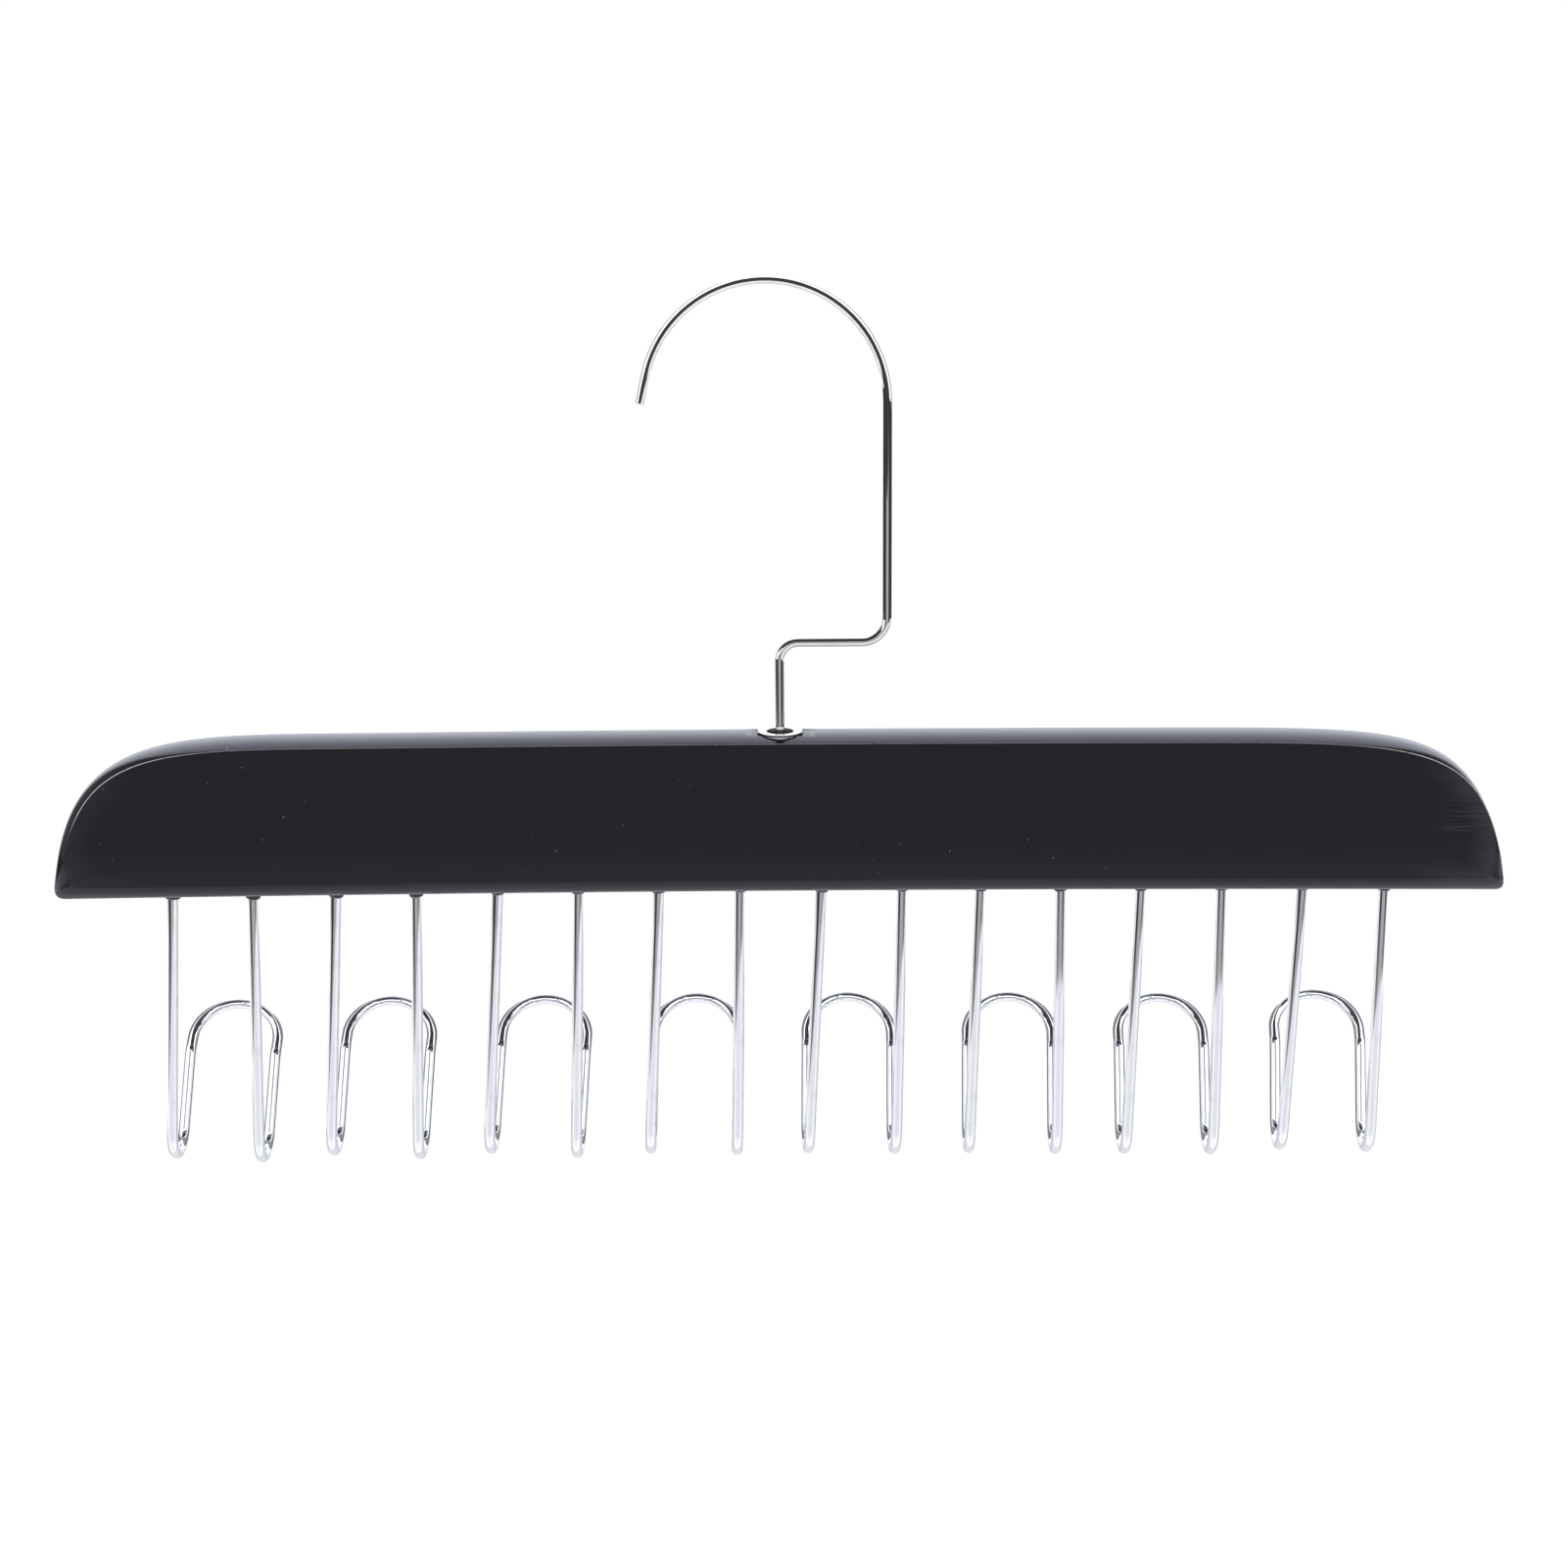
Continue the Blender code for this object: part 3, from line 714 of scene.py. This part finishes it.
def bar_mesh():
    """The bar in the frame of its own foot, with vertex attributes for where its edges get a painted
    highlight and a painted sheen.
    """
    rounds = quarter(ROUND_STEPS)[:0:-1]
    rings = [(1, angle) for angle in rounds]
    rings += [(1 - 2 * i / CROWN_STEPS, None) for i in range(CROWN_STEPS + 1)]
    rings += [(-1, angle) for angle in rounds[::-1]]
    rings = [(-share, angle) for share, angle in rings]
    bm = bmesh.new()
    painted_highlight = bm.verts.layers.float.new("edge_highlight")
    painted_sheen = bm.verts.layers.float.new("end_sheen")
    loops = []
    for share, angle in rings:
        loop = []
        for p in bar_outline(share, angle):
            vert = bm.verts.new(p)
            if angle is not None:
                vert[painted_highlight] = edge_highlight_share(p) * min(1, 2 * sin(2 * angle))
                vert[painted_sheen] = edge_sheen_share(p)
            loop.append(vert)
        loops.append(loop)
    along, up = MARGIN
    middle = FACE_HEIGHT / 2
    inner = [[bm.verts.new((v.co.x * along, v.co.y, middle + (v.co.z - middle) * up)) for v in loop]
             for loop in (loops[0], loops[-1])]
    loops = [inner[0], *loops, inner[1]]
    for front, back in zip(loops, loops[1:]):
        for i in range(len(front)):
            bm.faces.new((front[i - 1], front[i], back[i], back[i - 1]))
    bm.faces.new(loops[0])
    bm.faces.new(loops[-1][::-1])
    mesh = mesh_from("bar_wood", bm)
    for polygon in mesh.polygons:
        polygon.use_smooth = abs(polygon.normal.y) < FLAT_ENOUGH
    return mesh


def socket_profile():
    """A pressed eyelet, as (radius, height) points.

    It has a thin lip turned down to the wood, a cup with a hole in its floor, a barrel and a collar.
    """
    top = SOCKET_TOP - LIP_DROP
    under = top - LIP_THICKNESS
    half = LIP_THICKNESS / 2
    foot = FLANGE_SEAT - SOCKET_LENGTH
    side = FLANGE_RADIUS - SKIRT_INSET
    profile = [
        (BARREL_RADIUS, FLANGE_SEAT - SPOT_DEPTH),
        (BARREL_RADIUS + BARREL_FLARE, under),
        (side - SKIRT_THICKNESS, under),
        (side - SKIRT_THICKNESS, FLANGE_SEAT - SPOT_DEPTH),
        (side, FLANGE_SEAT - SPOT_DEPTH),
    ]
    for i in range(LIP_STEPS + 1):
        angle = -pi / 2 + pi * i / LIP_STEPS
        profile.append((FLANGE_RADIUS - half + half * cos(angle), under + half + half * sin(angle)))
    for i in range(1, DISH_STEPS):
        t = i / DISH_STEPS
        radius = FLANGE_RADIUS - half + t * (CUP_RADIUS - FLANGE_RADIUS + half)
        profile.append((radius, top - LIP_DISH * sin(pi / 2 * t)))
    brim = top - LIP_DISH
    for angle in quarter(CUP_BEND_STEPS):
        profile.append((CUP_RADIUS - CUP_BEND * sin(angle), brim - CUP_BEND * (1 - cos(angle))))
    floor = top - FUNNEL_DEPTH
    wall = CUP_RADIUS - CUP_BEND
    narrow = (wall - BORE_RADIUS) * CUP_FLOOR_SHARE
    for angle in quarter(CUP_FLOOR_STEPS):
        height = floor + CUP_BEND - (CUP_BEND - CUP_FLOOR_FALL) * sin(angle)
        profile.append((wall - narrow * (1 - cos(angle)), height))
    profile += [
        (BORE_RADIUS, floor),
        (BORE_RADIUS, WEB_UNDERSIDE),
        (CHAMBER_RADIUS, WEB_UNDERSIDE),
        (CHAMBER_RADIUS, foot),
        (BARREL_RADIUS, foot),
    ]
    return profile


def eyelet_mesh():
    """The eyelet, with the foot of its rim brought down to the crown of the bar all round."""
    mesh = turned("eyelet", socket_profile())
    seat = BAR_HEIGHT - SPOT_DEPTH
    for vert in mesh.vertices:
        place = vert.co
        outside = place.xy.length > CUP_RADIUS + SKIRT_THICKNESS
        if outside and abs(place.z - FLANGE_SEAT + SPOT_DEPTH) < SKIRT_SINK:
            place.z = min(FACE_HEIGHT + CROWN * bulge(place.y), seat) - SKIRT_SINK
    return mesh


def cut_socket_hole(bar):
    """Cuts the socket's hole and the flat under its flange out of the bar.

    The cutter is turned by half a step, so that none of its corners meets an edge of the crown.
    """
    hole = BARREL_RADIUS + CLEARANCE
    flat = FLANGE_RADIUS + CLEARANCE
    seat = BAR_HEIGHT - SPOT_DEPTH
    floor = FLANGE_SEAT - SOCKET_LENGTH - CLEARANCE
    above = BAR_HEIGHT + CROWN
    profile = [(0, above), (flat, above), (flat, seat), (hole, seat), (hole, floor), (0, floor)]
    cutter = link("cutter", turned("cutter", profile), None)
    cutter.location = bar.location
    cutter.rotation_euler.z = pi / TURNED_STEPS
    modifier = bar.modifiers.new("hole", "BOOLEAN")
    modifier.operation = "DIFFERENCE"
    modifier.solver = "EXACT"
    modifier.object = cutter
    bpy.context.view_layer.update()
    graph = bpy.context.evaluated_depsgraph_get()
    mesh = bpy.data.meshes.new_from_object(bar.evaluated_get(graph))
    bar.modifiers.clear()
    bar.data = mesh
    bpy.data.objects.remove(cutter, do_unlink=True)
    bm = bmesh.new()
    bm.from_mesh(mesh)
    bmesh.ops.remove_doubles(bm, verts=bm.verts, dist=SLIVER)
    bmesh.ops.dissolve_degenerate(bm, dist=SLIVER, edges=bm.edges)
    bm.to_mesh(mesh)
    bm.free()


def leg_direction(side):
    mouth = Vector((side * LEG_SPACING / 2, 0, 0))
    foot = Vector((side * ARCH_RADIUS, 0, -LEG_DROP))
    return (mouth - foot).normalized()


def leg_and_riser(side):
    mouth = side * LEG_SPACING / 2 * X
    foot = side * ARCH_RADIUS * X - LEG_DROP * Z
    points = [mouth + LEG_INSERT * leg_direction(side)]
    points += arc(foot + THROAT_BEND * Y, -Y, -Z, THROAT_BEND, pi - RISER_LEAN)
    riser = sin(RISER_LEAN) * Y + cos(RISER_LEAN) * Z
    behind = cos(RISER_LEAN) * Y - sin(RISER_LEAN) * Z
    riser_top = points[-1] + RISER_LENGTH * riser
    points += arc(riser_top + LIP_BEND * behind, -behind, riser, LIP_BEND, LIP_LEAN - RISER_LEAN)
    lip = sin(LIP_LEAN) * Y + cos(LIP_LEAN) * Z
    points.append(points[-1] + LIP_RUN * lip)
    return points


def belt_hook_mesh():
    right = leg_and_riser(1)
    left = leg_and_riser(-1)
    lip = sin(LIP_LEAN) * Y + cos(LIP_LEAN) * Z
    centre = right[-1] - ARCH_RADIUS * X
    points = right[:-1] + arc(centre, X, lip, ARCH_RADIUS, pi) + left[-2::-1]
    return wire("belt_hook_wire", points, [HOOK_WIRE / 2] * len(points))


def hook_matrix(index):
    """Where a belt hook stands in the world."""
    span = BAR_LENGTH - 2 * ROW_MARGIN
    lean, turn, stand_out, slip = HOOK_SETTING[index]
    x = ROW_SHIFT - span / 2 + span * index / (HOOK_COUNT - 1) + slip
    rotation = Euler((0, radians(lean), radians(turn))).to_matrix()
    place = Vector((STEM_X + x, 0, BAR_BOTTOM_Z - bow(x - BAR_SHIFT)))
    place -= stand_out * (rotation @ Z)
    return Matrix.Translation(place) @ rotation.to_4x4()


def bead_mesh(name, width, drop, wobble):
    """A collar of paint round one leg, thick at the bar and drawn thin down the wire."""
    inner = HOOK_WIRE / 2 * BEAD_GRIP
    twice, thrice = BEAD_UNEVEN
    spread, root = BEAD_ROOT
    bm = bmesh.new()
    rings = []
    for i in range(BEAD_ROWS + 1):
        t = i / BEAD_ROWS
        height = -drop * t
        radius = inner + (width - inner) * (1 - t**BEAD_TAPER) ** 0.5
        ring = []
        for angle in circle(BEAD_STEPS):
            uneven = 1 + twice * sin(2 * angle + wobble) + thrice * sin(3 * angle + 2 * wobble)
            r = inner + (radius - inner) * uneven
            sag = height * (1 + BEAD_SAG * sin(angle + wobble))
            ring.append(bm.verts.new((r * cos(angle), r * sin(angle), sag)))
        rings.append(ring)
    top = [bm.verts.new((v.co.x * spread, v.co.y * spread, root)) for v in rings[0]]
    rings.insert(0, top)
    for lower, upper in zip(rings, rings[1:]):
        for k in range(BEAD_STEPS):
            j = (k + 1) % BEAD_STEPS
            bm.faces.new((lower[k], lower[j], upper[j], upper[k]))
    bm.faces.new(rings[0])
    bm.faces.new(rings[-1][::-1])
    return mesh_from(name, bm, BEAD_SHARP)


def make_beads(material):
    for index in range(HOOK_COUNT):
        place = hook_matrix(index)
        for number, side in enumerate((-1, 1)):
            width, drop = BEADS[2 * index + number]
            along = (place.to_3x3() @ leg_direction(side)).normalized()
            mouth = place @ (side * LEG_SPACING / 2 * X)
            underside = BAR_BOTTOM_Z - bow(mouth.x - STEM_X - BAR_SHIFT)
            mouth += (underside - mouth.z) / along.z * along
            name = f"paint_bead_{index + 1}_{'left' if side < 0 else 'right'}"
            wobble = 1.7 * index + 2.3 * number     # differs from collar to collar
            bead = link(name, bead_mesh(name, width, drop, wobble), material)
            turn = Z.rotation_difference(along).to_matrix().to_4x4()
            bead.matrix_world = Matrix.Translation(mouth) @ turn
            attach(bead, "bar_assembly")


def studio_world():
    """White to the camera, even to matt surfaces, and a studio with cards and dark gaps to polished ones.

    Angles are in degrees: height above level, aside from the direction in front, over from the level in
    front to the level behind, and lateral from the upright plane through both.
    """
    world = bpy.data.worlds.new("studio")
    bpy.context.scene.world = world
    world.use_nodes = True
    nodes = Nodes(world.node_tree)
    towards = nodes.add("ShaderNodeTexCoord").outputs["Generated"]
    axes = nodes.add("ShaderNodeSeparateXYZ", {0: towards}).outputs
    x, y, z = axes[0], axes[1], axes[2]
    degrees = 180 / pi
    front = nodes.math("MULTIPLY", y, -1.0)
    height = nodes.math("MULTIPLY", nodes.math("ARCSINE", z), degrees)
    aside = nodes.math("ABSOLUTE", nodes.math("MULTIPLY", nodes.math("ARCTAN2", x, front), degrees))
    over = nodes.math("MULTIPLY", nodes.math("ARCTAN2", z, front), degrees)
    lateral = nodes.math("ABSOLUTE", nodes.math("MULTIPLY", nodes.math("ARCSINE", x), degrees))

    # Level and in front, the room behind the camera: grey in the middle, dark beside it, darker higher up
    middle = nodes.step(height, *ROOM_MIDDLE)
    beside = nodes.ramp(height, *ROOM_BESIDE)
    room = nodes.blend(nodes.step(aside, *ROOM_MIDDLE_EDGE), middle, beside)
    # Its reach to either side: wide in a level band, narrower above and below it
    reach = nodes.step(height, *ROOM_REACH)
    reach = nodes.math("ADD", reach, nodes.step(height, *ROOM_REACH_LOSS))
    side_card = nodes.step(aside, *SIDE_CARD)
    side = nodes.blend(nodes.step(height, *SIDE_FOOT), SIDE_FOOT_LIGHT, side_card)
    beyond = nodes.step(nodes.math("SUBTRACT", aside, reach), *ROOM_REACH_EDGE)
    value = nodes.blend(nodes.math("MAXIMUM", beyond, nodes.step(height, *ROOM_TOP)), room, side)
    # Above, in front: two soft boxes that meet overhead, with a dark gap between them lower down
    gap = nodes.step(over, *BOX_GAP)
    boxes = nodes.blend(nodes.step(lateral, *BOX_INNER_EDGE), gap, BOX_LIGHT)
    high = nodes.math("MULTIPLY", nodes.step(height, *BOX_LOWER_EDGE), nodes.step(aside, *BOX_SIDE_EDGE))
    value = nodes.blend(high, value, boxes)
    # Behind: the lit white sweep, as wide as a roll of paper, with the dimmer roof over it
    sweep = nodes.ramp(height, *SWEEP)
    behind = nodes.step(aside, *SWEEP_EDGE)
    value = nodes.blend(behind, value, sweep)
    roof = nodes.math("MULTIPLY", nodes.step(height, *ROOF_LOWER_EDGE), nodes.step(aside, *ROOF_SIDE_EDGE))
    value = nodes.blend(roof, value, ROOF_LIGHT)
    # Below: the white floor, brightest beside the object and straight below it
    floor = nodes.step(aside, *FLOOR_BESIDE)
    floor = nodes.math("ADD", floor, nodes.step(aside, *FLOOR_BEHIND))
    floor = nodes.math("ADD", floor, nodes.step(height, *FLOOR_BELOW))
    level = nodes.step(height, *FLOOR_EDGE)
    value = nodes.blend(level, floor, value)

    rays = nodes.add("ShaderNodeLightPath").outputs
    lit = nodes.blend(rays["Is Glossy Ray"], MATT_LIGHT, value)
    seen = nodes.math("MAXIMUM", rays["Is Camera Ray"], rays["Is Transmission Ray"])
    strength = nodes.blend(seen, lit, 1.0)
    background = world.node_tree.nodes["Background"]
    paper = nodes.tint(behind, WHITE, SWEEP_PAPER)
    paper = nodes.tint(level, FLOOR_PAPER, paper)
    nodes.plug(background.inputs["Color"], nodes.tint(rays["Is Glossy Ray"], WHITE, paper))
    nodes.plug(background.inputs["Strength"], strength)


def add_lamp(name, place, size, power):
    data = bpy.data.lights.new(name, "AREA")
    data.shape = "RECTANGLE"
    data.size = size[0]
    data.size_y = size[1]
    data.energy = power
    lamp = bpy.data.objects.new(name, data)
    bpy.context.scene.collection.objects.link(lamp)
    lamp.location = place
    lamp.rotation_euler = (Vector(LAMP_TARGET) - Vector(place)).to_track_quat("-Z", "Y").to_euler()
    lamp.visible_glossy = False


def add_floor():
    bm = bmesh.new()
    bmesh.ops.create_grid(bm, x_segments=2, y_segments=2, size=FLOOR_HALF)
    floor = link("floor", mesh_from("floor", bm), floor_material())
    floor.location = (0, 0, FLOOR_Z)
    floor.visible_glossy = False


def flag_material():
    """Dark on the side that faces the object, and clear from behind."""
    material = bpy.data.materials.new("flag")
    material.use_nodes = True
    material.node_tree.nodes.clear()
    nodes = Nodes(material.node_tree)
    dark = nodes.add("ShaderNodeEmission", {"Strength": FLAG_GLOW})
    clear = nodes.add("ShaderNodeBsdfTransparent")
    away = nodes.add("ShaderNodeNewGeometry").outputs["Backfacing"]
    both = nodes.add("ShaderNodeMixShader", {0: away, 1: dark.outputs[0], 2: clear.outputs[0]})
    nodes.add("ShaderNodeOutputMaterial", {"Surface": both.outputs[0]})
    return material


def add_flag(name, corners, material):
    """A studio flag that only polished surfaces see. Its corners run so that it faces the object."""
    bm = bmesh.new()
    bm.faces.new([bm.verts.new(corner) for corner in corners])
    mesh = bpy.data.meshes.new(name)
    bm.to_mesh(mesh)
    bm.free()
    flag = link(name, mesh, material)
    for kind in ("camera", "diffuse", "transmission", "volume_scatter", "shadow"):
        setattr(flag, f"visible_{kind}", False)


def add_flags():
    """One flag stands before the hook's curve, and one lies over the crank and the belt hooks."""
    material = flag_material()
    wide, tall = FRONT_FLAG_HALF
    spokes = [Vector((-wide * cos(a), 0, tall * sin(a))) for a in circle(FLAG_STEPS)]
    add_flag("front_flag", [FRONT_FLAG_PLACE + spoke for spoke in spokes], material)
    near, far = TOP_FLAG_Y
    corners = (-TOP_FLAG_X, near), (-TOP_FLAG_X, far), (TOP_FLAG_X, far), (TOP_FLAG_X, near)
    add_flag("top_flag", [(x, y, TOP_FLAG_Z) for x, y in corners], material)


def add_camera():
    data = bpy.data.cameras.new("camera")
    data.lens = LENS
    data.sensor_width = SENSOR
    camera = bpy.data.objects.new("camera", data)
    bpy.context.scene.collection.objects.link(camera)
    forward = Vector((0, cos(CAMERA_PITCH), -sin(CAMERA_PITCH)))
    level = Vector((0, sin(CAMERA_PITCH), cos(CAMERA_PITCH)))
    right = cos(CAMERA_ROLL) * X + sin(CAMERA_ROLL) * level
    up = cos(CAMERA_ROLL) * level - sin(CAMERA_ROLL) * X
    turn = Matrix((right, up, -forward)).transposed()
    camera.matrix_world = Matrix.Translation(CAMERA_PLACE) @ turn.to_4x4()
    bpy.context.scene.camera = camera


def main():
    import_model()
    bpy.context.scene.view_settings.view_transform = "Standard"
    chrome = chrome_material("chrome", *CHROME)
    steel = chrome_material("steel", *STEEL)
    nickel = chrome_material("nickel", *NICKEL, SOCKET_TOP)
    paint = paint_material()

    hook = link("hanger_wire", swivel_hook_mesh(), steel)
    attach(hook, "hanger_hook")
    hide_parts("swivel_hook")

    bar = link("painted_bar", bar_mesh(), paint)
    bar.location = (STEM_X, 0, BAR_BOTTOM_Z)
    cut_socket_hole(bar)
    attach(bar, "bar_assembly")
    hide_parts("bar")

    socket = link("eyelet", eyelet_mesh(), nickel)
    socket.location = (STEM_X, 0, BAR_BOTTOM_Z)
    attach(socket, "bar_assembly")
    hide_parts("swivel_socket")

    belt_hook = belt_hook_mesh()
    for index in range(HOOK_COUNT):
        item = link(f"belt_wire_{index + 1}", belt_hook, chrome)
        item.matrix_world = hook_matrix(index)
        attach(item, "bar_assembly")
        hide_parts(f"belt_hook_{index + 1}")
    make_beads(paint)

    add_floor()
    add_flags()
    studio_world()
    for lamp in LAMPS:
        add_lamp(*lamp)
    add_camera()


main()
